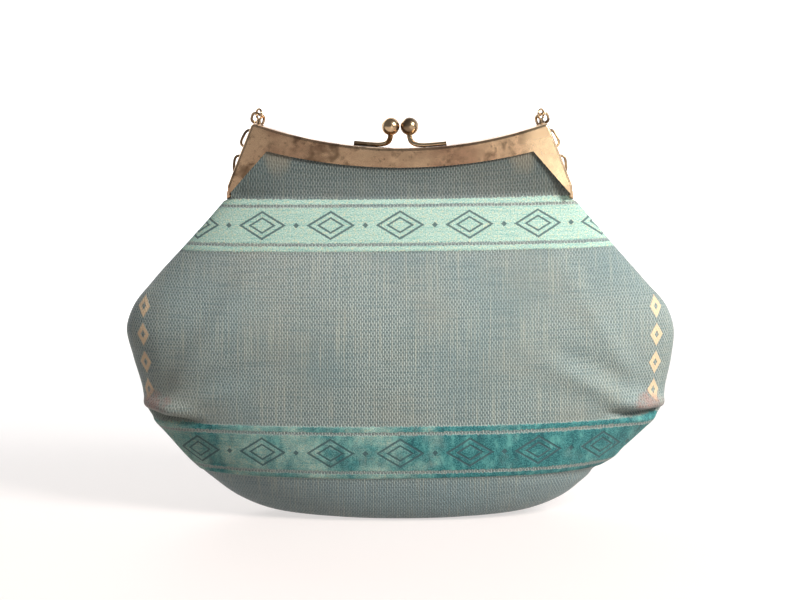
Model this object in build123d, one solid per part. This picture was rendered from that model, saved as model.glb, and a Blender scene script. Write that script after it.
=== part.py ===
from build123d import *
import os
from math import cos, pi, radians, sin, sqrt

os.makedirs("parts", exist_ok=True)

# A frame handbag in mm. X runs across the front, the front faces -Y, Z is up from the floor.
bag_half_width = 137.0
bag_half_depth = 36.0
hinge_height = 160.0

# Cloth: outer panels and lining, with the clear space between layers.
cloth_thickness = 1.2
lining_thickness = 0.6
layer_gap = 0.45
seam_half_gap = 0.12
seam_overhang = 2.95
collar_clearance = 0.3
collar_outer_share = 0.5
collar_inner_share = 0.95

# Sheet-metal frame, two halves that meet on the plane Y = 0.
frame_half_depth = 8.0
frame_sheet = 0.8
meeting_half_gap = 0.15
corner_half_width = 72.5
frame_rise = 36.0
top_dip = 12.5
leg_half_width = 85.0
leg_upright = 5.0
leg_tail = 9.0
corner_round = 1.8
leg_round = 6.0
rim_round = 1.4
window_side = 7.0
window_drop = 14.0
window_dip = 8.0
window_margin = 12.0
lip_depth = 4.3
lip_sheet = 0.7
lip_width = 6.0
lip_rise = 7.0
cloth_inset = 3.0

# Hinge at the leg ends.
tab_radius = 2.8
tab_gap = 0.15
tab_clearance = 0.3
rivet_radius = 1.2
rivet_clearance = 0.2
rivet_head_radius = 2.0
rivet_head = 0.8
rivet_head_gap = 0.1
bridge_reach = 6.0
bridge_height = 5.0

# Kiss-lock clasp.
ball_radius = 4.5
ball_half_gap = 0.15
ball_rise = 10.5
ball_cross = 0.4
arm_depth = 4.2
arm_from_plane = 3.6
arm_thickness = 2.2
arm_inner = 8.5
arm_outer = 23.0
neck_radius = 1.0
neck_overlap = 1.0
neck_lean_share = 0.3
neck_station_shares = (0.0, 0.35, 0.65, 1.0)
ball_latitudes_deg = (-80, -60, -40, -20, 0, 20, 40, 60, 80)

# Sides of the prisms that stand for small round things.
neck_sides = 8
small_sides = 8
ring_sides = 12
ball_sides = 14
panel_sides = 14

# Chain eyes on the back half's corners.
eye_inset = 2.5
eye_from_plane = 5.0
eye_ring_radius = 2.5
eye_wire_radius = 0.5
eye_turn_deg = 55.0
eye_lift = 1.8
eye_post_radius = 1.0

# Chain handle, hanging behind the bag.
link_width = 7.6
link_wire = 1.4
link_corner = 2.0
link_play = 0.6
side_links = 22

# Body outline in rows of height, half width and half depth. Heights are shares of
# the hinge height and depths of the bag's half depth. Base widths are shares of the
# bag's half width, and belly widths run from the seam's (0) to the bag's (1).
base_shares = [
    (0.0, 0.365, 0.50),
    (0.02, 0.495, 0.625),
    (0.056, 0.595, 0.75),
    (0.125, 0.705, 0.875),
    (0.215, 0.822, 0.955),
]
belly_shares = [
    (0.306, 0.757, 0.99),
    (0.44, 0.908, 1.0),
    (0.56, 1.0, 0.935),
    (0.655, 0.902, 0.84),
    (0.78, 0.572, 0.667),
    (0.8875, 0.274, 0.486),
    (0.981, 0.0, 0.294),
]
lining_row_step = 2
# The collar runs from the seam up into the frame: rows of how far it has risen, how
# far its sides have come in, and how far its depth has come to the flat part.
collar_shares = [
    (0.0, 0.0, 0.0),
    (0.12, 0.01, 0.45),
    (0.23, 0.03, 0.9),
    (0.3, 0.1, 1.0),
    (1.0, 1.0, 1.0),
]
width_power = 2.3
depth_power = 1.7

# Chain route from one eye to the middle of its loop, in rows of X, Y and Z as
# shares of the eye's half span, the bag's half depth and the hinge height.
route_shares = [
    (1.032, 0.34, 1.215),
    (1.08, 0.394, 1.174),
    (1.13, 0.368, 1.125),
    (1.149, 0.366, 1.075),
    (1.112, 0.387, 1.0),
    (1.0, 0.475, 0.906),
    (0.857, 0.68, 0.8125),
    (0.671, 0.835, 0.731),
    (0.457, 0.935, 0.675),
    (0.229, 0.985, 0.644),
]
route_middle_shares = (1.0, 0.631)
route_lean_share = 0.75
route_out_share = 0.22
route_pull_shares = (1.0, 1.0)

seam_height = belly_shares[-1][0] * hinge_height
seam_half_width = leg_half_width + seam_overhang
seam_half_depth = belly_shares[-1][2] * bag_half_depth
corner_height = hinge_height + frame_rise
window_corner_half_width = corner_half_width - window_side
window_corner_height = corner_height - window_drop
top_arc_radius = (corner_half_width**2 + top_dip**2) / (2 * top_dip)
dip_height = corner_height - top_dip
top_arc_centre = dip_height + top_arc_radius
tail_height = hinge_height - leg_tail
span = 2 * (bag_half_width + bag_half_depth)


def top_arc_height(x):
    return top_arc_centre - sqrt(top_arc_radius**2 - x**2)


def envelope():
    left = Polyline(
        (-leg_half_width, tail_height),
        (-leg_half_width, hinge_height + leg_upright),
        (-corner_half_width, corner_height),
    )
    top = ThreePointArc(
        (-corner_half_width, corner_height),
        (0, dip_height),
        (corner_half_width, corner_height),
    )
    right = Polyline(
        (corner_half_width, corner_height),
        (leg_half_width, hinge_height + leg_upright),
        (leg_half_width, tail_height),
    )
    bottom = Line((leg_half_width, tail_height), (-leg_half_width, tail_height))
    outline = make_face(left + top + right + bottom)
    corners = [v for v in outline.vertices() if v.Y > window_corner_height]
    outline = fillet(corners, corner_round)
    bend_height = hinge_height + leg_upright
    bends = [v for v in outline.vertices() if abs(v.Y - bend_height) < leg_upright / 2]
    return fillet(bends, leg_round)


def window():
    low = tail_height - window_margin
    left = Polyline(
        (-leg_half_width, low),
        (-leg_half_width, hinge_height),
        (-window_corner_half_width, window_corner_height),
    )
    top = ThreePointArc(
        (-window_corner_half_width, window_corner_height),
        (0, window_corner_height - window_dip),
        (window_corner_half_width, window_corner_height),
    )
    right = Polyline(
        (window_corner_half_width, window_corner_height),
        (leg_half_width, hinge_height),
        (leg_half_width, low),
    )
    bottom = Line((leg_half_width, low), (-leg_half_width, low))
    return make_face(left + top + right + bottom)


def pan(outline, near, far, round_radius):
    block = extrude(Plane.XZ.offset(near) * outline, amount=far - near)
    front_face = block.faces().sort_by(Axis.Y)[0]
    return fillet(front_face.edges(), round_radius)


def below(height):
    return Pos(0, 0, height - span / 2) * Box(span, span, span)


# Flat facets: one from its corners, and a strip of them between two rows of points.
def flat(*points):
    return Face(Wire.make_polygon(points))


def strip(first, second):
    faces = []
    for i in range(len(first) - 1):
        faces.append(flat(first[i], first[i + 1], second[i]))
        faces.append(flat(first[i + 1], second[i + 1], second[i]))
    return faces


# Small round things are prisms of a few sides, to keep the mesh light.
def disc(radius, x_from, x_to):
    plane = Plane(origin=(x_from, 0, hinge_height), z_dir=(1, 0, 0))
    return extrude(plane * RegularPolygon(radius, small_sides), amount=x_to - x_from)


def post(radius, x, low, high):
    plane = Plane(origin=(x, eye_from_plane, low))
    return extrude(plane * RegularPolygon(radius, small_sides), amount=high - low)


outline = envelope()
leg_inside = leg_half_width - frame_sheet
back_tab_outside = leg_inside - tab_gap
back_tab_inside = back_tab_outside - frame_sheet


# One half of the frame: dished face with a window for the cloth, a rim that
# reaches the meeting plane, and an inner lip that holds the cloth's edge.
def frame_half():
    outside = pan(outline, meeting_half_gap, frame_half_depth, rim_round)
    inner_outline = offset(outline, -frame_sheet)
    hollow = extrude(Plane.XZ * inner_outline, amount=frame_half_depth - frame_sheet)
    shell = outside - hollow
    cut = extrude(Plane.XZ.offset(lip_depth) * window(), amount=frame_half_depth)
    shell = shell - cut - below(hinge_height)
    lip_outline = offset(outline, -frame_sheet / 2) - offset(outline, -frame_sheet - lip_width)
    lip = extrude(Plane.XZ.offset(lip_depth - lip_sheet) * lip_outline, amount=lip_sheet)
    return shell + (lip - below(hinge_height + lip_rise))


def pair(shape):
    return shape + mirror(shape, about=Plane.YZ)


half = frame_half()
hole_radius = rivet_radius + rivet_clearance
rivet_hole = pair(disc(hole_radius, back_tab_inside - tab_gap, leg_half_width + tab_gap))
front_tabs = pair(disc(tab_radius, leg_inside, leg_half_width))
front_frame = half + front_tabs - rivet_hole

# The back tabs sit inside the front ones, each on a bridge from the back leg.
back_tab = disc(tab_radius, back_tab_inside, back_tab_outside)
bridge_from = tab_radius + tab_clearance
bridge_middle = hinge_height + bridge_height / 2
tongue = Box(frame_sheet, bridge_reach, bridge_height)
tongue_middle = (back_tab_inside + back_tab_outside) / 2
back_tab += Pos(tongue_middle, bridge_reach / 2, bridge_middle) * tongue
bridge = Box(leg_inside - back_tab_inside, bridge_reach - bridge_from, bridge_height)
bridge_across = (back_tab_inside + leg_inside) / 2
back_tab += Pos(bridge_across, (bridge_from + bridge_reach) / 2, bridge_middle) * bridge
front_tab_room = pair(disc(bridge_from, leg_inside, leg_half_width + tab_gap))
back_frame = mirror(half, about=Plane.XZ) - front_tab_room
back_frame = back_frame + pair(back_tab) - rivet_hole

rivet_from = back_tab_inside - rivet_head_gap
rivet_to = leg_half_width + rivet_head_gap
rivet = disc(rivet_radius, rivet_from, rivet_to)
rivet += disc(rivet_head_radius, rivet_to, rivet_to + rivet_head)
rivet += disc(rivet_head_radius, rivet_from - rivet_head, rivet_from)
hinge_rivets = pair(rivet)

# Clasp: a flat arm on the rim, a round neck that bends up, and a ball.
arm_ring = Circle(top_arc_radius) - Circle(top_arc_radius - arm_thickness)
arm_ring = Pos(0, top_arc_centre) * arm_ring
arm_length = arm_outer - arm_inner
arm_bar = arm_ring & (Pos((arm_inner + arm_outer) / 2, dip_height) * Rectangle(arm_length, 2 * window_dip))
arm_bar = extrude(Plane.XZ.offset(arm_from_plane - arm_depth / 2) * arm_bar, amount=arm_depth)
ball_x = ball_radius + ball_half_gap
ball_height = dip_height + ball_rise
neck_start = (arm_inner + neck_overlap, -arm_from_plane, top_arc_height(arm_inner) + arm_thickness / 2)
neck_end = (ball_x, ball_cross, ball_height - ball_radius / 2)
neck_path = Spline(neck_start, neck_end, tangents=[(-1, 0, 0), (0, neck_lean_share, 1)])
neck_rings = []
for share in neck_station_shares:
    station = Plane(origin=neck_path @ share, x_dir=(0, 1, 0), z_dir=neck_path % share)
    neck_rings.append(station * RegularPolygon(neck_radius, neck_sides))
front_clasp_arm = arm_bar + loft(neck_rings, ruled=True)
ball_rings = []
for latitude in ball_latitudes_deg:
    ring_radius = ball_radius * cos(radians(latitude))
    ring_height = ball_radius * sin(radians(latitude))
    ring = []
    for side in range(ball_sides + 1):
        angle = 2 * pi * (side % ball_sides) / ball_sides
        ring.append((ring_radius * cos(angle), ring_radius * sin(angle), ring_height))
    ball_rings.append(ring)
ball_faces = [flat(*ball_rings[0][:-1]), flat(*ball_rings[-1][:-1])]
for low, high in zip(ball_rings, ball_rings[1:]):
    ball_faces += strip(low, high)
front_clasp_ball = Pos(ball_x, ball_cross, ball_height) * Solid(Shell(ball_faces)) - front_clasp_arm
back_clasp_arm = Rot(0, 0, 180) * front_clasp_arm
back_clasp_ball = Rot(0, 0, 180) * front_clasp_ball

# Eyes: a turned ring on a short post that stands on the back rim.
eye_half_span = corner_half_width - eye_inset
eye_foot = top_arc_height(eye_half_span)
eye_height = eye_foot + eye_lift + eye_ring_radius + eye_wire_radius
eye_centre = Pos(eye_half_span, eye_from_plane, eye_height)
eye_face = RegularPolygon(eye_ring_radius + eye_wire_radius, ring_sides)
eye_face -= RegularPolygon(eye_ring_radius - eye_wire_radius, ring_sides)
eye_ring = extrude(eye_face, amount=eye_wire_radius, both=True)
eye_ring = eye_centre * Rot(0, 0, eye_turn_deg) * Rot(90, 0, 0) * eye_ring
eye_post = post(eye_post_radius, eye_half_span, eye_foot - eye_lift, eye_height - eye_ring_radius)
rim_circle = Plane.XZ * Pos(0, top_arc_centre) * Circle(top_arc_radius)
above_rim = extrude(rim_circle, amount=frame_half_depth, both=True)
chain_eyes = pair(eye_ring + (eye_post & above_rim))

# Chain: alike links spaced along the route, each turned a quarter from the last.
# A link is as long as the spacing needs, so that it hangs in the next with little play.
eye_point = (eye_half_span, eye_from_plane, eye_height)
side = [(x * eye_half_span, y * bag_half_depth, z * hinge_height) for x, y, z in route_shares]
middle = (0, route_middle_shares[0] * bag_half_depth, route_middle_shares[1] * hinge_height)
route_fall_share = sqrt(1 - route_lean_share**2 - route_out_share**2)
start_way = (route_out_share, route_lean_share, -route_fall_share)
ways = [start_way, (-1, 0, 0)]
half_route = Spline(eye_point, *side, middle, tangents=ways, tangent_scalars=route_pull_shares)
pitch = (2 * half_route.length - link_wire - link_play) / (2 * side_links + 1)
link_length = pitch + 2 * link_wire + link_play
end_reach = (link_length - link_wire) / 2
link_face = chamfer(Rectangle(link_length, link_width).vertices(), link_corner)
link_face -= Rectangle(link_length - 2 * link_wire, link_width - 2 * link_wire)
link = extrude(link_face, amount=link_wire / 2, both=True)

links = []
for i in range(side_links + 1):
    place = end_reach + i * pitch
    along = half_route.tangent_at(place, position_mode=PositionMode.LENGTH)
    across = along.cross(Vector(0, 1, 0)).normalized()
    facing = across.cross(along) if i % 2 == 0 else across
    point = half_route.position_at(place, position_mode=PositionMode.LENGTH)
    placed = Plane(origin=point, x_dir=along, z_dir=facing) * link
    links.append(placed)
    if i < side_links:
        links.append(mirror(placed, about=Plane.YZ))
chain_links = Compound(children=links)

# Cloth: each layer is a shell of flat facets from the base seam up into the frame.
collar_half_width = leg_half_width - cloth_inset
collar_top_half_width = corner_half_width - cloth_inset / 2
collar_half_depth = frame_half_depth - frame_sheet - collar_clearance


def lens(half_width, half_depth, column):
    angle = pi * column / panel_sides
    x = abs(cos(angle)) ** (2 / width_power)
    y = sin(angle) ** (2 / depth_power) if 0 < column < panel_sides else 0
    side = -1 if 2 * column < panel_sides else 1
    return side * x * half_width, -seam_half_gap - y * (half_depth - seam_half_gap)


def seam_depth(x, inset):
    across = (abs(x) / (seam_half_width - inset)) ** width_power
    return (seam_half_depth - inset) * (1 - across) ** (1 / depth_power)


def body_rows(inset, step):
    sizes = []
    for height_share, width_share, depth_share in base_shares:
        half_width = width_share * bag_half_width
        sizes.append((height_share * hinge_height, half_width, depth_share * bag_half_depth))
    for height_share, reach_share, depth_share in belly_shares:
        half_width = seam_half_width + reach_share * (bag_half_width - seam_half_width)
        sizes.append((height_share * hinge_height, half_width, depth_share * bag_half_depth))
    kept = sizes[:-1:step] + sizes[-1:]
    rows = []
    for height, half_width, half_depth in kept:
        lift = inset * (1 - height / seam_height)
        row = []
        for column in range(panel_sides + 1):
            x, y = lens(half_width - inset, half_depth - inset, column)
            row.append((x, y, height + lift))
        rows.append(row)
    return rows


def collar_rows(inset):
    rows = []
    for rise_share, side_share, flat_share in collar_shares:
        row = []
        for column in range(panel_sides + 1):
            across_share = lens(1, 1, column)[0]
            low_x = across_share * collar_half_width
            top_x = across_share * collar_top_half_width
            low = seam_depth(low_x, inset)
            depth = low + flat_share * (collar_half_depth - inset - low)
            top = top_arc_height(top_x) - cloth_inset
            x = low_x + side_share * (top_x - low_x)
            row.append((x, -depth, seam_height + rise_share * (top - seam_height)))
        rows.append(row)
    return rows


def front_layer(inset, thickness, step):
    outer_inset = inset + collar_outer_share * thickness
    inner_inset = inset + collar_inner_share * thickness
    outer = body_rows(inset, step) + collar_rows(outer_inset)
    inner = body_rows(inset + thickness, step) + collar_rows(inner_inset)
    faces = [flat(*outer[0]), flat(*inner[0])]
    faces.append(flat(outer[0][0], outer[0][-1], inner[0][-1], inner[0][0]))
    for rows in (outer, inner):
        for low, high in zip(rows, rows[1:]):
            faces += strip(low, high)
    for end in (0, -1):
        faces += strip([row[end] for row in outer], [row[end] for row in inner])
    faces += strip(outer[-1], inner[-1])
    return Solid(Shell(faces))


front_panel = front_layer(0, cloth_thickness, 1)
front_lining = front_layer(cloth_thickness + layer_gap, lining_thickness, lining_row_step)
back_panel = mirror(front_panel, about=Plane.XZ)
back_lining = mirror(front_lining, about=Plane.XZ)

nodes = {
    "front_frame": front_frame,
    "back_frame": back_frame,
    "hinge_rivets": hinge_rivets,
    "front_clasp_arm": front_clasp_arm,
    "front_clasp_ball": front_clasp_ball,
    "back_clasp_arm": back_clasp_arm,
    "back_clasp_ball": back_clasp_ball,
    "chain_eyes": chain_eyes,
    "chain_links": chain_links,
    "front_panel": front_panel,
    "back_panel": back_panel,
    "front_lining": front_lining,
    "back_lining": back_lining,
}
for name, shape in nodes.items():
    export_step(shape, f"parts/{name}.step")
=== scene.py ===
"""A dressed frame handbag: woven cloth with velvet bands, satin lining, gilt frame, clasp and chain."""
import math

import bpy
import numpy as np
from mathutils import Matrix, Vector


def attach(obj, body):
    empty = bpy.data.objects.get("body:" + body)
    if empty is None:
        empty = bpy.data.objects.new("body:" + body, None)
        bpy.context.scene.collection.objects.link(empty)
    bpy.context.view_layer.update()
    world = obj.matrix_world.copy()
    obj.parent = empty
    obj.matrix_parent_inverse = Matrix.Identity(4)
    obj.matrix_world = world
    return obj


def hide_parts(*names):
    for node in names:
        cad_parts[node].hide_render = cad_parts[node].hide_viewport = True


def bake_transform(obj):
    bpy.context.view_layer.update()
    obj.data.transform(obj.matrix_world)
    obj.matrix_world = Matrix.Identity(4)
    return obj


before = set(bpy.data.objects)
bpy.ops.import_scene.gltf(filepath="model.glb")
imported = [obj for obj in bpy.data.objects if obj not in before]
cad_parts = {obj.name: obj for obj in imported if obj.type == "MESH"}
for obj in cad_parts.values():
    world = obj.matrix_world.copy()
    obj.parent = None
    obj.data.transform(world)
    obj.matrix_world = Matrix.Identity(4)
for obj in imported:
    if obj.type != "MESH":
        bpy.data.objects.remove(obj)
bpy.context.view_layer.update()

MM = 0.001
SEAM = 157.0
SEAM_WIDTH = 87.6
CORNER_X, CORNER_Z, TOP_DIP = 72.5, 196.0, 12.5
ARC_R = (CORNER_X**2 + TOP_DIP**2) / (2 * TOP_DIP)
ARC_Z = CORNER_Z - TOP_DIP + ARC_R


def arc_height(x):
    """Height of the frame's concave top edge at x, in mm."""
    return ARC_Z - np.sqrt(ARC_R**2 - np.asarray(x, float) ** 2)


# Outline of the cloth body: height, half width at the left and right, half depth.
PROFILE = np.array([
    (0.0, 47, 47, 17.0),
    (2.2, 66, 66, 21.5),
    (8.0, 81, 81, 26.0),
    (17.5, 94.5, 93.5, 30.5),
    (27.5, 106, 105.5, 33.2),
    (37.5, 115, 117, 34.8),
    (47.0, 123, 126.5, 35.6),
    (53.0, 127, 131.0, 35.9),
    (66.0, 130, 133.5, 36.0),
    (80.0, 134, 136.2, 35.2),
    (94.0, 136.8, 137.0, 33.4),
    (104.0, 133.6, 133.6, 30.9),
    (117.5, 123.2, 122.2, 26.8),
    (137.5, 105, 104.5, 19.2),
    (148.0, 95.4, 95.4, 14.6),
    (SEAM, SEAM_WIDTH, SEAM_WIDTH, 10.9),
])


def spline_rows(table, steps):
    """A smooth curve through the rows, by chord length, with steps rows in all."""
    t = np.concatenate([[0], np.cumsum(np.linalg.norm(np.diff(table[:, [0, 3]], axis=0), axis=1)
                                       + 0.5 * np.abs(np.diff(table[:, 1])))])
    slopes = np.gradient(table, t, axis=0)
    s = np.linspace(0, t[-1], steps)
    i = np.clip(np.searchsorted(t, s, side="right") - 1, 0, len(t) - 2)
    h = (t[i + 1] - t[i])[:, None]
    f = ((s - t[i])[:, None]) / h
    return ((2 * f**3 - 3 * f**2 + 1) * table[i] + (f**3 - 2 * f**2 + f) * h * slopes[i]
            + (-2 * f**3 + 3 * f**2) * table[i + 1] + (f**3 - f**2) * h * slopes[i + 1])


def smooth(edge0, edge1, x):
    t = np.clip((x - edge0) / (edge1 - edge0), 0, 1)
    return t * t * (3 - 2 * t)


def bump(x, width):
    return np.exp(-(x / width) ** 2)


def wave_noise(u, v, scale, seed, count=9):
    """A soft seeded field of crossing waves, about -1 to 1."""
    r = np.random.default_rng(seed)
    total = np.zeros_like(u)
    for _ in range(count):
        angle = r.uniform(0, 2 * math.pi)
        length = scale * r.uniform(0.7, 1.6)
        phase = r.uniform(0, 2 * math.pi)
        total += np.sin(2 * math.pi * (u * math.cos(angle) + v * math.sin(angle)) / length + phase)
    return total / count * 1.6


# Collar under the frame: half widths above the seam and at the top edge, its depth, and how far the
# top edge stays below the frame's own.
COLLAR_LOW, COLLAR_TOP, COLLAR_DEPTH, COLLAR_DROP = 83.6, 71.4, 6.7, 2.2
LEG_TOP = 165.0
LINING_INSET = 3.0

# Points of the cloth grids: across, up the body and up the collar, and the rows under the base.
PANEL_GRID = (281, 230, 34)
LINING_GRID = (121, 90, 16)
BASE_ROWS = 11

# Velvet bands, from their heights on the body, and the motifs on and beside them.
UPPER_BAND = (133.8, 158.6)
LOWER_BAND = (23.5, 50.0)
BAND_TILT = 0.010
BAND_PROUD = 0.45
LOZENGE_PITCH, LOZENGE_HALF_WIDTH, LOZENGE_HALF_HEIGHT = 34.0, 11.0, 7.0
DIAMOND_PITCH, DIAMOND_HALF_WIDTH, DIAMOND_HALF_HEIGHT = 14.0, 4.2, 6.2
DIAMOND_HEIGHTS = (57.0, 112.0)
DIAMOND_EDGE = 16.0

# Corner tucks: side, distance from the middle, height, and slope towards the middle.
TUCKS = ((-1, 122.0, 51.5, -0.10), (1, 126.5, 52.5, 0.05))


def body_grid(side, inset, columns, rows, collar_rows):
    """Points of one cloth layer as an array (rows, columns, 3) in mm, from base to top edge."""
    c = np.linspace(0, math.pi, columns)
    c = c - 0.18 * np.sin(2 * c) * 0.5
    across = -np.sign(np.cos(c)) * np.abs(np.cos(c)) ** (2 / 2.3)
    deep = np.abs(np.sin(c)) ** (2 / 1.7)
    table = spline_rows(PROFILE, rows)
    table[:, 2] += 1.3 * bump(table[:, 0] - 29.0, 3.0) - 1.8 * bump(table[:, 0] - 22.5, 2.6)
    z = table[:, 0] + inset * (1 - table[:, 0] / SEAM)
    width = np.where(across[None, :] < 0, table[:, 1:2], table[:, 2:3]) - inset
    x = across[None, :] * width
    y = deep[None, :] * (table[:, 3:4] - inset)
    body = np.stack([x, y, np.repeat(z[:, None], columns, 1)], 2)
    base = body[0].copy()
    lines = []
    for f in np.linspace(0, 1, BASE_ROWS + 1)[:-1]:
        row = base.copy()
        row[:, 1] *= f
        lines.append(row)
    f = np.linspace(0, 1, collar_rows + 1)[1:]
    low_x = across * (SEAM_WIDTH - inset)
    tuck_x = across * (COLLAR_LOW - inset)
    top_x = across * (COLLAR_TOP - inset)
    top_z = arc_height(top_x) - COLLAR_DROP
    seam_y = body[-1][:, 1]
    flat = COLLAR_DEPTH - 0.6 * inset
    collar = []
    for k in f:
        zz = SEAM + k * (top_z - SEAM)
        side_in = np.clip((zz - LEG_TOP) / (top_z - LEG_TOP), 0, 1)
        tucked = smooth(0.0, 0.06, k)
        xx = (low_x + tucked * (tuck_x - low_x)) * (1 - side_in) + top_x * side_in
        edge = np.maximum(seam_y, 3.4 * tucked)
        ease = 1 - (1 - min(k / 0.62, 1)) ** 2.2
        yy = edge + ease * (flat - edge)
        collar.append(np.stack([xx, yy, zz], 1))
    grid = np.concatenate([np.array(lines), body, np.array(collar)], 0)
    grid[..., 1] *= side
    return grid


def grid_normals(grid, side):
    """Unit normals of the grid that point out of the bag."""
    du = np.gradient(grid, axis=1)
    dv = np.gradient(grid, axis=0)
    n = np.cross(du, dv)
    n /= np.maximum(np.linalg.norm(n, axis=2, keepdims=True), 1e-9)
    return n if side < 0 else -n


def cloth_coordinates(grid):
    """Across and up coordinates on the flat cloth, in mm: up follows the middle column."""
    step = np.linalg.norm(np.diff(grid, axis=1), axis=2)
    run = np.concatenate([np.zeros((grid.shape[0], 1)), np.cumsum(step, 1)], 1)
    middle = grid.shape[1] // 2
    u = run - run[:, middle:middle + 1]
    m = grid[:, middle]
    v = np.concatenate([[0], np.cumsum(np.linalg.norm(np.diff(m, axis=0), axis=1))])
    return u, np.repeat(v[:, None], grid.shape[1], 1), m


def up_at(height, middle, v):
    """The cloth's up coordinate where its middle column has that height, above the base fold."""
    above = np.arange(len(middle)) >= BASE_ROWS
    return float(np.interp(height, middle[above, 2], v[above, 0]))


def mesh_from_grid(name, grid, uv, flip):
    """A smooth mesh of quads over the grid, with the cloth's own coordinates as its UV map."""
    rows, columns = grid.shape[:2]
    index = np.arange(rows * columns).reshape(rows, columns)
    a, b, c, d = index[:-1, :-1], index[:-1, 1:], index[1:, 1:], index[1:, :-1]
    quads = np.stack([a, b, c, d], 2).reshape(-1, 4)
    if flip:
        quads = quads[:, ::-1]
    mesh = bpy.data.meshes.new(name)
    mesh.from_pydata((grid.reshape(-1, 3) * MM).tolist(), [], quads.tolist())
    layer = mesh.uv_layers.new(name="cloth")
    flat = np.stack([uv[0].ravel(), uv[1].ravel()], 1)
    loops = np.zeros(len(mesh.loops), np.int32)
    mesh.loops.foreach_get("vertex_index", loops)
    layer.data.foreach_set("uv", flat[loops].astype(np.float32).ravel())
    mesh.polygons.foreach_set("use_smooth", np.ones(len(mesh.polygons), bool))
    mesh.update()
    obj = bpy.data.objects.new(name, mesh)
    bpy.context.scene.collection.objects.link(obj)
    return obj


class Net:
    """A new material with one main shader, and short calls that add nodes to it."""

    def __init__(self, name):
        self.material = bpy.data.materials.new(name)
        self.material.use_nodes = True
        self.tree = self.material.node_tree
        self.tree.nodes.clear()
        out = self.tree.nodes.new("ShaderNodeOutputMaterial")
        self.shader = self.tree.nodes.new("ShaderNodeBsdfPrincipled")
        self.tree.links.new(self.shader.outputs[0], out.inputs[0])

    def put(self, socket, value):
        if isinstance(value, bpy.types.NodeSocket):
            self.tree.links.new(value, socket)
        elif isinstance(value, (tuple, list)) and len(value) == 3 and socket.type == "RGBA":
            socket.default_value = (*value, 1)
        else:
            socket.default_value = value

    def math(self, operation, *values, clamp=False):
        node = self.tree.nodes.new("ShaderNodeMath")
        node.operation = operation
        node.use_clamp = clamp
        for socket, value in zip(node.inputs, values):
            self.put(socket, value)
        return node.outputs[0]

    def ramp(self, value, low, high, start=0.0, end=1.0):
        node = self.tree.nodes.new("ShaderNodeMapRange")
        node.interpolation_type = "SMOOTHSTEP"
        for socket, item in zip(node.inputs[:5], (value, low, high, start, end)):
            self.put(socket, item)
        return node.outputs[0]

    def mix(self, amount, first, second, kind="MIX"):
        node = self.tree.nodes.new("ShaderNodeMix")
        node.data_type = "RGBA"
        node.blend_type = kind
        self.put(node.inputs[0], amount)
        self.put(node.inputs[6], first)
        self.put(node.inputs[7], second)
        return node.outputs[2]

    def vector(self, x, y, z=0.0):
        node = self.tree.nodes.new("ShaderNodeCombineXYZ")
        for socket, value in zip(node.inputs, (x, y, z)):
            self.put(socket, value)
        return node.outputs[0]

    def noise(self, vector, scale, detail=2.0, rough=0.5):
        node = self.tree.nodes.new("ShaderNodeTexNoise")
        self.put(node.inputs["Vector"], vector)
        node.inputs["Scale"].default_value = scale
        node.inputs["Detail"].default_value = detail
        node.inputs["Roughness"].default_value = rough
        return node.outputs[0]

    def uv(self):
        node = self.tree.nodes.new("ShaderNodeUVMap")
        node.uv_map = "cloth"
        parts = self.parts(node.outputs[0])
        return parts[0], parts[1]

    def place(self):
        node = self.tree.nodes.new("ShaderNodeTexCoord")
        return node.outputs["Object"]

    def parts(self, vector):
        node = self.tree.nodes.new("ShaderNodeSeparateXYZ")
        self.put(node.inputs[0], vector)
        return node.outputs

    def relief(self, height, strength, distance):
        node = self.tree.nodes.new("ShaderNodeBump")
        node.inputs["Strength"].default_value = strength
        node.inputs["Distance"].default_value = distance
        self.put(node.inputs["Height"], height)
        self.put(self.shader.inputs["Normal"], node.outputs[0])


def srgb(r, g, b):
    return tuple(((c / 255 + 0.055) / 1.055) ** 2.4 if c > 10 else c / 255 / 12.92 for c in (r, g, b))


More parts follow.
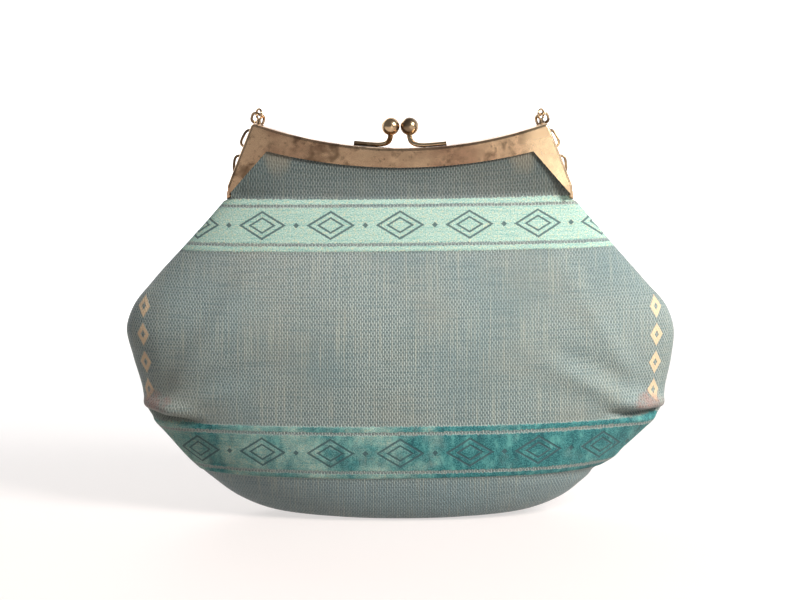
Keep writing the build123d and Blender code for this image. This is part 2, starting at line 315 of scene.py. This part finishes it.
def cloth_material(name, upper, lower, column_u, column_v):
    """Shot weave with two velvet bands of lozenges and a column of cream diamonds at each side."""
    net = Net(name)
    u, v0 = net.uv()
    v = net.math("ADD", v0, net.math("MULTIPLY", u, -BAND_TILT))
    spot = net.vector(u, v)
    edge = net.math("MULTIPLY", net.math("SUBTRACT", net.noise(spot, 1.1, 2.0), 0.5), 2.2)

    # Weave: upright floats in columns, each column half a float along from the last.
    column_width, float_length = 0.85, 2.72
    column = net.math("FLOOR", net.math("DIVIDE", u, column_width))
    shift = net.math("MULTIPLY", column, 0.5)
    wander = net.math("MULTIPLY", net.noise(spot, 0.35, 2.0), 0.8)
    along = net.math("ADD", net.math("DIVIDE", v, float_length), shift)
    float_u = net.math("FRACT", net.math("DIVIDE", u, column_width))
    float_v = net.math("FRACT", net.math("ADD", along, wander))
    hill_u = net.math("MULTIPLY", net.math("SUBTRACT", 1.0, float_u), float_u)
    hill_v = net.math("MULTIPLY", net.math("SUBTRACT", 1.0, float_v), float_v)
    weave = net.math("MULTIPLY", net.math("MULTIPLY", hill_u, hill_v), 16.0)
    thread = net.noise(net.vector(net.math("MULTIPLY", u, 0.05), net.math("MULTIPLY", v, 1.2)), 1.0, 1.0)
    warp = net.noise(net.vector(net.math("MULTIPLY", u, 1.1), net.math("MULTIPLY", v, 0.03)), 1.0, 1.0)
    cloud = net.noise(spot, 0.022, 3.0)
    fine = net.noise(spot, 1.6, 2.0)
    ground = net.mix(net.ramp(weave, 0.05, 0.85), srgb(97, 114, 114), srgb(174, 186, 180))
    ground = net.mix(net.ramp(cloud, 0.40, 0.75, 0.0, 0.34), ground, srgb(158, 150, 130))
    wash = net.noise(net.vector(net.math("ADD", u, 300.0), v), 0.016, 3.0, 0.5)
    ground = net.mix(net.ramp(wash, 0.42, 0.70, 0.0, 0.36), ground, srgb(100, 132, 138))
    fresh = net.ramp(v0, lower[0] + 4.0, lower[0] - 6.0, 0.0, 0.55)
    ground = net.mix(fresh, ground, srgb(128, 150, 156))
    ground = net.mix(net.ramp(thread, 0.45, 0.75, 0.0, 0.5), ground, srgb(96, 122, 124))
    ground = net.mix(net.ramp(warp, 0.5, 0.8, 0.0, 0.5), ground, srgb(184, 186, 170))
    ground = net.mix(net.ramp(fine, 0.5, 0.75, 0.0, 0.6), ground, srgb(112, 112, 100))
    # Painted shade: the ground is darkened above the upper band, where the cloth goes in under the frame.
    painted_shade_under_frame = net.ramp(v, upper[1] - 2.0, upper[1] + 3.0, 0.0, 0.75)
    ground = net.mix(painted_shade_under_frame, ground, net.mix(1.0, ground, (0.27, 0.27, 0.26), "MULTIPLY"))

    masks = []
    deep_masks = []
    line_masks = []
    for low, high, wear in (upper, lower):
        middle = (low + high) / 2
        half = (high - low) / 2
        off = net.math("ABSOLUTE", net.math("SUBTRACT", v, middle))
        off = net.math("ADD", off, edge)
        stripe = net.ramp(off, half - 4.0, half - 4.6)
        pin = net.math("ABSOLUTE", net.math("SUBTRACT", off, half - 1.4))
        pin = net.ramp(pin, 1.5, 1.1)
        masks.append(net.math("MAXIMUM", stripe, pin))
        half_pitch = LOZENGE_PITCH / 2
        du = net.math("PINGPONG", net.math("ADD", u, 5000 * LOZENGE_PITCH), half_pitch)
        dv = net.math("ABSOLUTE", net.math("SUBTRACT", v, middle))
        ring = net.math("ADD", net.math("DIVIDE", du, LOZENGE_HALF_WIDTH),
                        net.math("DIVIDE", dv, LOZENGE_HALF_HEIGHT))
        ring = net.math("ADD", ring, net.math("MULTIPLY", edge, 0.05))
        outer = net.ramp(net.math("ABSOLUTE", net.math("SUBTRACT", ring, 1.0)), 0.11, 0.06)
        inner = net.ramp(net.math("ABSOLUTE", net.math("SUBTRACT", ring, 0.55)), 0.10, 0.05)
        far = net.math("SUBTRACT", half_pitch, du)
        dot = net.math("ADD", net.math("DIVIDE", far, 1.5), net.math("DIVIDE", dv, 1.5))
        dot = net.ramp(dot, 1.15, 0.8)
        lines = net.math("MAXIMUM", net.math("MAXIMUM", outer, inner), dot)
        line_masks.append(net.math("MULTIPLY", lines, stripe))
        patch = net.noise(spot, 0.045, 3.0, 0.6)
        bias = net.ramp(u, -30.0, 60.0, wear[0], wear[1])
        deep = net.math("ADD", patch, bias)
        deep_masks.append(net.math("MULTIPLY", net.ramp(deep, 0.36, 0.78), masks[-1]))
    pile = net.math("MAXIMUM", *masks)
    deep = net.math("MAXIMUM", *deep_masks)
    lines = net.math("MAXIMUM", *line_masks)
    tuft = net.noise(spot, 1.5, 2.0, 0.6)
    worn = net.mix(net.ramp(tuft, 0.3, 0.7), srgb(136, 188, 176), srgb(216, 231, 215))
    worn = net.mix(net.ramp(net.noise(spot, 0.75, 2.0), 0.5, 0.7, 0.0, 0.7), worn, srgb(220, 216, 180))
    worn = net.mix(net.ramp(thread, 0.5, 0.7, 0.0, 0.35), worn, srgb(104, 172, 166))
    worn = net.mix(net.ramp(fine, 0.5, 0.75, 0.0, 0.5), worn, srgb(92, 150, 146))
    full = net.mix(net.ramp(tuft, 0.3, 0.75), srgb(18, 88, 96), srgb(84, 164, 160))
    nap = net.noise(net.vector(net.math("MULTIPLY", u, 0.22), net.math("MULTIPLY", v, 0.10)), 1.0, 3.0, 0.65)
    full = net.mix(net.ramp(nap, 0.5, 0.72, 0.0, 0.75), full, srgb(108, 180, 172))
    full = net.mix(net.ramp(nap, 0.5, 0.3, 0.0, 0.6), full, srgb(12, 66, 76))
    velvet = net.mix(deep, worn, full)
    color = net.mix(pile, ground, velvet)
    color = net.mix(net.math("MULTIPLY", lines, 0.85), color, srgb(66, 92, 96))

    # Cream diamonds: one column at each side, in a stretch of the cloth's height.
    side = net.math("ABSOLUTE", u)
    du = net.math("ABSOLUTE", net.math("SUBTRACT", side, column_u))
    dv = net.math("PINGPONG", net.math("SUBTRACT", v0, column_v[0]), DIAMOND_PITCH / 2)
    dv = net.math("SUBTRACT", DIAMOND_PITCH / 2, dv)
    diamond = net.math("ADD", net.math("DIVIDE", du, DIAMOND_HALF_WIDTH),
                       net.math("DIVIDE", dv, DIAMOND_HALF_HEIGHT))
    diamond = net.math("ADD", diamond, net.math("MULTIPLY", edge, 0.12))
    hole = net.ramp(diamond, 0.28, 0.36)
    cream = net.math("MULTIPLY", net.ramp(diamond, 1.0, 0.85), hole)
    within = net.math("MULTIPLY", net.ramp(v0, column_v[0] - 0.5, column_v[0]),
                      net.ramp(v0, column_v[1] + 0.5, column_v[1]))
    cream = net.math("MULTIPLY", cream, within)
    color = net.mix(cream, color, net.mix(tuft, srgb(214, 180, 138), srgb(250, 226, 190)))

    # Worn folds at the lower corners show pinkish threads.
    worn_u = net.math("DIVIDE", net.math("SUBTRACT", side, column_u - 4.0), 10.0)
    worn_v = net.math("DIVIDE", net.math("SUBTRACT", v0, column_v[0] + 1.0), 5.5)
    spread = net.math("ADD", net.math("MULTIPLY", worn_u, worn_u), net.math("MULTIPLY", worn_v, worn_v))
    ragged = net.math("SUBTRACT", net.noise(spot, 0.22, 4.0, 0.65), 0.5)
    spread = net.math("ADD", spread, net.math("MULTIPLY", ragged, 4.0))
    bare = net.math("MULTIPLY", net.ramp(spread, 1.4, -0.2), net.ramp(tuft, 0.3, 0.65, 0.35, 0.95))
    color = net.mix(bare, color, net.mix(net.ramp(fine, 0.35, 0.65), srgb(124, 92, 86), srgb(190, 152, 140)))

    # The cloth is rubbed to a pale brown where it turns in under the frame's corners; this pale patch is also
    # a painted highlight of the fold there.
    rub_and_highlight_u = net.math("DIVIDE", net.math("SUBTRACT", side, 61.0), 9.0)
    rub_and_highlight_v = net.math("DIVIDE", net.math("SUBTRACT", v0, upper[1] + 20.0), 13.0)
    rub_and_highlight = net.math("ADD", net.math("MULTIPLY", rub_and_highlight_u, rub_and_highlight_u), net.math("MULTIPLY", rub_and_highlight_v, rub_and_highlight_v))
    rub_and_highlight = net.math("ADD", rub_and_highlight, net.math("SUBTRACT", net.noise(spot, 0.12, 3.0), 0.5))
    color = net.mix(net.ramp(rub_and_highlight, 1.0, 0.1, 0.0, 0.45), color, srgb(150, 138, 116))

    net.put(net.shader.inputs["Base Color"], color)
    net.put(net.shader.inputs["Roughness"], net.ramp(pile, 0.0, 1.0, 0.46, 0.82))
    net.put(net.shader.inputs["Specular IOR Level"], 0.45)
    net.put(net.shader.inputs["Sheen Weight"], 0.15)
    net.put(net.shader.inputs["Sheen Roughness"], 0.45)
    net.put(net.shader.inputs["Sheen Tint"], srgb(214, 232, 226))
    hair = net.noise(spot, 2.4, 3.0, 0.7)
    height = net.math("ADD", net.math("MULTIPLY", weave, net.math("SUBTRACT", 1.0, pile)),
                      net.math("MULTIPLY", pile, net.math("ADD", 0.7, net.math("MULTIPLY", hair, 1.4))))
    height = net.math("SUBTRACT", height, net.math("MULTIPLY", lines, 0.9))
    height = net.math("ADD", height, net.math("MULTIPLY", cream, 0.6))
    net.relief(height, 0.65, 0.0005)
    return net.material


def satin_material():
    """Pale lining satin with fine upright streaks."""
    net = Net("lining_satin")
    u, v = net.uv()
    spot = net.vector(u, v)
    streak = net.noise(net.vector(net.math("MULTIPLY", u, 0.9), net.math("MULTIPLY", v, 0.02)), 1.0, 2.0)
    color = net.mix(streak, srgb(178, 160, 132), srgb(214, 200, 174))
    color = net.mix(net.ramp(net.noise(spot, 0.03, 3.0), 0.5, 0.75, 0.0, 0.4), color, srgb(150, 128, 104))
    net.put(net.shader.inputs["Base Color"], color)
    net.put(net.shader.inputs["Roughness"], net.ramp(streak, 0.2, 0.8, 0.34, 0.48))
    net.relief(streak, 0.15, 0.0003)
    return net.material


def gilt_material(name, pale, brown, dark, rough, polish_and_highlight):
    """Gilt metal with tarnish, patches, specks and scratches, rubbed bright towards the right end, where that
    pale colour is also a painted highlight.
    """
    net = Net(name)
    place = net.place()
    cloud = net.noise(place, 26.0, 4.0, 0.6)
    patch = net.noise(place, 62.0, 3.0, 0.6)
    speck = net.noise(place, 420.0, 3.0, 0.6)
    scratch = net.noise(place, 150.0, 5.0, 0.7)
    color = net.mix(net.ramp(cloud, 0.40, 0.60), brown, pale)
    color = net.mix(net.ramp(patch, 0.48, 0.62, 0.0, 0.8), color, dark)
    color = net.mix(net.ramp(scratch, 0.52, 0.72, 0.0, 0.6), color, dark)
    color = net.mix(net.ramp(speck, 0.60, 0.74, 0.0, 0.6), color, dark)
    # Polish and painted highlight: the base colour turns pale and bright towards the frame's right end.
    rubbed_and_highlight = net.ramp(net.parts(place)[0], 0.055, 0.068, 0.0, polish_and_highlight)
    color = net.mix(rubbed_and_highlight, color, srgb(236, 204, 164))
    net.put(net.shader.inputs["Base Color"], color)
    net.put(net.shader.inputs["Metallic"], 1.0)
    net.put(net.shader.inputs["Roughness"], net.ramp(patch, 0.35, 0.65, rough, rough + 0.14))
    net.relief(scratch, 0.10, 0.0003)
    return net.material


gilt = gilt_material("gilt_tarnished", srgb(214, 180, 144), srgb(176, 140, 112), srgb(98, 76, 58), 0.17, 0.9)
gilt_small = gilt_material("gilt_worn", srgb(216, 190, 154), srgb(186, 156, 122), srgb(98, 78, 60), 0.17, 0.0)


def folds(u, v, x, z, seed):
    """How far the cloth stands out from its plain form, in mm: corner tucks, slack and soft ridges."""
    out = 0.55 * wave_noise(u, v, 95, seed) + 0.22 * wave_noise(u, v, 38, seed + 1)
    out *= smooth(4, 22, z) * (1 - smooth(120, 150, z))
    for sign, tx, tz, slope in TUCKS:
        along = tx - sign * x
        off = z - tz - slope * along
        reach = smooth(-12, 0, along) * (1 - smooth(6, 30, along))
        out += reach * (-5.0 * bump(off, 1.7) + 3.4 * bump(off - 5.0, 3.4) + 0.9 * bump(off + 4.5, 3.0))
        ridge = off - 0.42 * along
        fade = smooth(0, 10, along) * (1 - smooth(28, 70, along))
        out += fade * (1.7 * bump(ridge, 5.5) - 1.2 * bump(ridge - 11, 6.0))
        ridge = off - 1.5 * along
        out += fade * (0.7 * bump(ridge, 9.0) - 0.4 * bump(ridge - 17, 11.0))
    return out


def tuck_room(x, z):
    """How far the lining stays in behind the corner tucks, in mm."""
    room = np.zeros_like(x)
    for sign, tx, tz, _ in TUCKS:
        along = tx - sign * x
        room += 6.0 * smooth(-24, -6, along) * (1 - smooth(28, 48, along)) * bump(z - tz, 10.0)
    return room


# Cloth panels.
panels = {}
for name, side, seed in (("front", -1, 3), ("back", 1, 21)):
    grid = body_grid(side, 0.0, *PANEL_GRID)
    u, v, middle = cloth_coordinates(grid)
    heights = [up_at(h, middle, v) for h in (*UPPER_BAND, *LOWER_BAND, *DIAMOND_HEIGHTS)]
    normals = grid_normals(grid, side)
    tilted = v - BAND_TILT * u
    raised = np.zeros_like(u)
    for low, high in (heights[:2], heights[2:4]):
        above = smooth(low - 0.3, low + 0.5, tilted)
        below = 1 - smooth(high - 0.5, high + 0.3, tilted)
        raised = np.maximum(raised, above * below)
    keep = smooth(-0.2, 6, np.abs(grid[..., 1])) * (1 - smooth(150, 158, grid[..., 2]))
    move = folds(u, v, grid[..., 0], grid[..., 2], seed) * np.maximum(keep, 0.0)
    move = move + BAND_PROUD * raised * smooth(0.2, 3, np.abs(grid[..., 1]))
    shaped = grid + normals * move[..., None]
    shaped[..., 2] = np.maximum(shaped[..., 2], 0.05)
    panel = mesh_from_grid(f"{name}_panel_cloth", shaped, (u, v), flip=side > 0)
    half_run = float(np.abs(u).max())
    material = cloth_material(
        f"{name}_cloth",
        (heights[0], heights[1], (-0.26, -0.24)),
        (heights[2], heights[3], (0.10, 0.34)),
        half_run - DIAMOND_EDGE,
        (heights[4], heights[5]),
    )
    panel.data.materials.append(material)
    panels[name] = panel

    inner = body_grid(side, LINING_INSET, *LINING_GRID)
    room = np.minimum(tuck_room(inner[..., 0], inner[..., 2]), 0.6 * np.abs(inner[..., 1]))
    inner[..., 1] -= side * room
    iu, iv, _ = cloth_coordinates(inner)
    lining = mesh_from_grid(f"{name}_lining_satin", inner, (iu, iv), flip=side > 0)
    panels[name + "_lining"] = lining

satin = satin_material()
for name in ("front", "back"):
    panels[name + "_lining"].data.materials.append(satin)


for name in ("front", "back"):
    for key, node, slot, inset in ((name, f"{name}_panel", "cloth", 0.0),
                                   (name + "_lining", f"{name}_lining", "lining", LINING_INSET)):
        obj = panels[key]
        if name == "front":
            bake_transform(obj)
        else:
            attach(obj, "bag")
        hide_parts(node)


# Metal: smooth tubes, rings and balls.
def tube(points, radii, closed=False, sides=16, up=(0, 1, 0)):
    """A tube along points (mm) with an oval section: radii gives half width across up and along up."""
    points = np.asarray(points, float)
    n = len(points)
    ahead = np.roll(points, -1, 0) - np.roll(points, 1, 0)
    if not closed:
        ahead[0] = points[1] - points[0]
        ahead[-1] = points[-1] - points[-2]
    ahead /= np.linalg.norm(ahead, axis=1, keepdims=True)
    up = np.asarray(up, float)
    across = np.cross(ahead, up)
    across /= np.linalg.norm(across, axis=1, keepdims=True)
    lift = np.cross(across, ahead)
    radii = np.asarray(radii, float)
    if radii.ndim == 1:
        radii = np.repeat(radii[None, :], n, 0)
    a = np.linspace(0, 2 * math.pi, sides, endpoint=False)
    power = 0.75
    ca = np.sign(np.cos(a)) * np.abs(np.cos(a)) ** power
    sa = np.sign(np.sin(a)) * np.abs(np.sin(a)) ** power
    rings = points[:, None] + radii[:, None, 0:1] * ca[None, :, None] * across[:, None]
    rings = rings + radii[:, None, 1:2] * sa[None, :, None] * lift[:, None]
    vertices = rings.reshape(-1, 3) * MM
    faces = []
    for i in range(n if closed else n - 1):
        here, there = i * sides, (i + 1) % n * sides
        for j in range(sides):
            k = (j + 1) % sides
            faces.append((here + j, here + k, there + k, there + j))
    if not closed:
        faces.append(tuple(range(sides - 1, -1, -1)))
        faces.append(tuple((n - 1) * sides + j for j in range(sides)))
    return vertices, faces


def add_mesh(name, parts, material, smooth_angle=60):
    vertices, faces = [], []
    for part_vertices, part_faces in parts:
        start = len(vertices)
        vertices += [tuple(p) for p in part_vertices]
        faces += [tuple(start + i for i in f) for f in part_faces]
    mesh = bpy.data.meshes.new(name)
    mesh.from_pydata(vertices, [], faces)
    mesh.polygons.foreach_set("use_smooth", np.ones(len(mesh.polygons), bool))
    mesh.update()
    mesh.set_sharp_from_angle(angle=math.radians(smooth_angle))
    mesh.materials.append(material)
    obj = bpy.data.objects.new(name, mesh)
    bpy.context.scene.collection.objects.link(obj)
    return obj


def ball(centre, radius, rings=24, sides=36):
    vertices, faces = [], []
    for i in range(rings + 1):
        t = math.pi * i / rings
        for j in range(sides):
            a = 2 * math.pi * j / sides
            vertices.append((
                (centre[0] + radius * math.sin(t) * math.cos(a)) * MM,
                (centre[1] + radius * math.sin(t) * math.sin(a)) * MM,
                (centre[2] + radius * math.cos(t)) * MM,
            ))
    for i in range(rings):
        for j in range(sides):
            k = (j + 1) % sides
            faces.append((i * sides + j, (i + 1) * sides + j, (i + 1) * sides + k, i * sides + k))
    return vertices, faces


def bezier(points, count):
    t = np.linspace(0, 1, count)[:, None]
    a, b, c, d = (np.asarray(p, float) for p in points)
    return (1 - t) ** 3 * a + 3 * (1 - t) ** 2 * t * b + 3 * (1 - t) * t**2 * c + t**3 * d


BALL = (4.65, 0.4, 194.0)
BALL_RADIUS = 4.5
ARM_END, ARM_BEND, ARM_Y, ARM_LIFT = 22.9, 11.5, -3.6, 1.15
for name, sign in (("front", 1), ("back", -1)):
    turn = np.array([sign, sign, 1.0])
    xs = np.linspace(ARM_END, ARM_BEND, 10)
    bar = np.stack([xs, np.full(len(xs), ARM_Y), arc_height(xs) + ARM_LIFT], 1)
    neck = bezier([bar[-1], (6.0, -3.5, 184.9), (BALL[0], -1.6, 186.6), (BALL[0], 0.2, 190.6)], 18)[1:]
    path = np.concatenate([bar, neck]) * turn
    slim = smooth(0.30, 0.75, np.linspace(0, 1, len(path)))
    radii = np.stack([1.1 + 0.25 * slim, 2.05 - 0.75 * slim], 1)
    arm = add_mesh(f"{name}_clasp_arm_bar", [tube(path, radii, sides=20, up=(0, 1, 0.02))], gilt_small)
    knob = add_mesh(f"{name}_clasp_ball_round", [ball(np.array(BALL) * turn, BALL_RADIUS)], gilt_small)
    body = "front_half" if name == "front" else "bag"
    for obj, node in ((arm, f"{name}_clasp_arm"), (knob, f"{name}_clasp_ball")):
        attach(obj, body)
        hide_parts(node)


def oval_ring(centre, along, facing, half_length, half_width, wire, squareness=1.0, count=48, sides=14):
    """A round-wire ring, in mm: an ellipse at squareness 1, with straighter sides and ends below that."""
    along = np.asarray(along, float)
    facing = np.asarray(facing, float)
    across = np.cross(facing, along)
    t = np.linspace(0, 2 * math.pi, count, endpoint=False)
    x = half_length * np.sign(np.cos(t)) * np.abs(np.cos(t)) ** squareness
    y = half_width * np.sign(np.sin(t)) * np.abs(np.sin(t)) ** squareness
    points = np.asarray(centre)[None] + x[:, None] * along[None] + y[:, None] * across[None]
    return tube(points, (wire, wire), closed=True, sides=sides, up=facing)


# Each chain link of the CAD becomes a round-wire one in the same place.
def solids_of(node):
    """The points (mm) of each separate solid in a node's mesh."""
    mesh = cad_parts[node].data
    place = np.array([v.co for v in mesh.vertices]) / MM
    key = {}
    weld = [key.setdefault(tuple(np.round(p, 3)), len(key)) for p in place]
    parent = list(range(len(key)))

    def root(i):
        while parent[i] != i:
            parent[i] = parent[parent[i]]
            i = parent[i]
        return i

    for polygon in mesh.polygons:
        first = root(weld[polygon.vertices[0]])
        for i in polygon.vertices[1:]:
            parent[root(weld[i])] = first
    groups = {}
    for point, i in key.items():
        groups.setdefault(root(i), []).append(point)
    return [np.array(g) for g in groups.values()]


def axes_of(points):
    """Centre of a link, the way it is long and the way that it faces."""
    centre = points.mean(0)
    _, vectors = np.linalg.eigh(np.cov((points - centre).T))
    return centre, vectors[:, 2], vectors[:, 0]


LINK_WIRE, LINK_SQUARENESS = 0.70, 0.62
links = []
for points in solids_of("chain_links"):
    centre, along, facing = axes_of(points)
    reach = (points - centre) @ along
    wide = (points - centre) @ np.cross(facing, along)
    links.append(oval_ring(centre, along, facing, reach.max() - LINK_WIRE, wide.max() - LINK_WIRE,
                           LINK_WIRE, LINK_SQUARENESS))
chain = add_mesh("chain_round_links", links, gilt_small)
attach(chain, "chain_handle")
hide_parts("chain_links")

EYE = (70.0, 5.0, 199.929)
EYE_RADIUS, EYE_WIRE = 2.5, 0.52
eye_parts = []
for sign in (-1, 1):
    turn = math.radians(55) * sign
    facing = (math.sin(turn), -math.cos(turn), 0)
    centre = (EYE[0] * sign, EYE[1], EYE[2])
    eye_parts.append(oval_ring(centre, (0, 0, 1), facing, EYE_RADIUS, EYE_RADIUS, EYE_WIRE))
    foot = float(arc_height(EYE[0])) - 1.0
    post = [(centre[0], EYE[1], z) for z in (foot, foot + 1.4, EYE[2] - EYE_RADIUS)]
    eye_parts.append(tube(post, ((1.0, 1.0), (0.95, 0.95), (0.8, 0.8))))
eyes = add_mesh("chain_eye_rings", eye_parts, gilt_small)
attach(eyes, "bag")
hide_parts("chain_eyes")

EDGE_BEVEL = 0.22
for node in ("front_frame", "back_frame", "hinge_rivets"):
    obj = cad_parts[node]
    obj.data.materials.clear()
    obj.data.materials.append(gilt)
    bevel = obj.modifiers.new("edge", "BEVEL")
    bevel.width = EDGE_BEVEL * MM
    bevel.segments = 2
    bevel.limit_method = "ANGLE"
    bevel.angle_limit = math.radians(50)


# Floor, backdrop, light and camera, in metres.
STAGE_SIDE, STAGE_FRONT, STAGE_BACK = 6, -9, 1.2
FLOOR_Z, WALL_TOP = -0.0003, 2.5


def stage_plane(name, corners, material):
    mesh = bpy.data.meshes.new(name)
    mesh.from_pydata(corners, [], [(0, 1, 2, 3)])
    mesh.materials.append(material)
    obj = bpy.data.objects.new(name, mesh)
    bpy.context.scene.collection.objects.link(obj)


def seen(net):
    """1 where the camera or a reflection looks at the surface, 0 for the light that it throws."""
    path = net.tree.nodes.new("ShaderNodeLightPath")
    look = net.math("MAXIMUM", path.outputs["Is Camera Ray"], path.outputs["Is Glossy Ray"])
    return net.math("MAXIMUM", look, path.outputs["Is Transmission Ray"])


floor_net = Net("floor_paper")
floor_place = floor_net.place()
floor_y = floor_net.parts(floor_place)[1]
back = floor_net.ramp(floor_y, -0.10, 0.25)
grain = floor_net.noise(floor_place, 40.0, 3.0)
tone = floor_net.mix(back, srgb(156, 146, 142), srgb(160, 158, 158))
tone = floor_net.mix(floor_net.math("MULTIPLY", grain, 0.04), tone, srgb(140, 126, 120))
floor_net.put(floor_net.shader.inputs["Base Color"], tone)
floor_net.put(floor_net.shader.inputs["Roughness"], 0.7)
floor_net.put(floor_net.shader.inputs["Emission Color"], (1.0, 0.965, 0.945))
floor_glow = floor_net.ramp(floor_y, 0.35, 1.0, 0.65, 0.95)
floor_glow = floor_net.math("MULTIPLY", floor_glow, floor_net.ramp(floor_y, -5.0, -0.8, 0.34, 1.0))
floor_glow = floor_net.math("MULTIPLY", floor_glow, seen(floor_net))
floor_net.put(floor_net.shader.inputs["Emission Strength"], floor_glow)
stage_plane("floor", [
    (-STAGE_SIDE, STAGE_FRONT, FLOOR_Z), (STAGE_SIDE, STAGE_FRONT, FLOOR_Z),
    (STAGE_SIDE, STAGE_BACK, FLOOR_Z), (-STAGE_SIDE, STAGE_BACK, FLOOR_Z),
], floor_net.material)

wall_net = Net("backdrop_paper")
wall_grain = wall_net.noise(wall_net.place(), 2.0, 2.0)
wall_tone = wall_net.mix(wall_grain, (0.9, 0.9, 0.9), (0.95, 0.95, 0.95))
wall_net.put(wall_net.shader.inputs["Base Color"], wall_tone)
wall_net.put(wall_net.shader.inputs["Emission Color"], (1.0, 1.0, 1.0))
wall_net.put(wall_net.shader.inputs["Emission Strength"], seen(wall_net))
stage_plane("backdrop", [
    (-STAGE_SIDE, STAGE_BACK, FLOOR_Z), (STAGE_SIDE, STAGE_BACK, FLOOR_Z),
    (STAGE_SIDE, STAGE_BACK, WALL_TOP), (-STAGE_SIDE, STAGE_BACK, WALL_TOP),
], wall_net.material)

world = bpy.data.worlds.new("studio")
bpy.context.scene.world = world
world.use_nodes = True
world.node_tree.nodes["Background"].inputs[0].default_value = (0.93, 0.95, 1.0, 1)
world.node_tree.nodes["Background"].inputs[1].default_value = 0.22


def area_light(name, place, target, size, power, color=(1, 1, 1)):
    data = bpy.data.lights.new(name, "AREA")
    data.shape = "RECTANGLE"
    data.size, data.size_y = size
    data.energy = power
    data.color = color
    obj = bpy.data.objects.new(name, data)
    obj.location = place
    obj.rotation_euler = (Vector(target) - Vector(place)).to_track_quat("-Z", "Y").to_euler()
    bpy.context.scene.collection.objects.link(obj)


area_light("key", (0.90, -0.70, 0.85), (0.0, 0, 0.09), (0.45, 0.45), 27, (1.0, 0.985, 0.96))
area_light("glint", (0.33, -1.2, 0.14), (0.06, 0, 0.18), (0.31, 0.30), 0.8, (1.0, 0.97, 0.92))
area_light("rear", (-0.5, 0.95, 0.75), (0, 0, 0.1), (0.7, 0.5), 3.5, (0.98, 0.99, 1.0))

camera_data = bpy.data.cameras.new("camera")
camera_data.sensor_width = 36
camera_data.lens = 85.5
camera = bpy.data.objects.new("camera", camera_data)
distance, elevation = 0.95, math.radians(7.0)
target = Vector((0.0, 0.0, 0.1075))
camera.location = target + Vector((0, -distance * math.cos(elevation), distance * math.sin(elevation)))
look = (target - camera.location).to_track_quat("-Z", "Y").to_matrix().to_4x4()
camera.matrix_world = Matrix.Translation(camera.location) @ look
bpy.context.scene.collection.objects.link(camera)
bpy.context.scene.camera = camera
bpy.context.scene.view_settings.view_transform = "Standard"
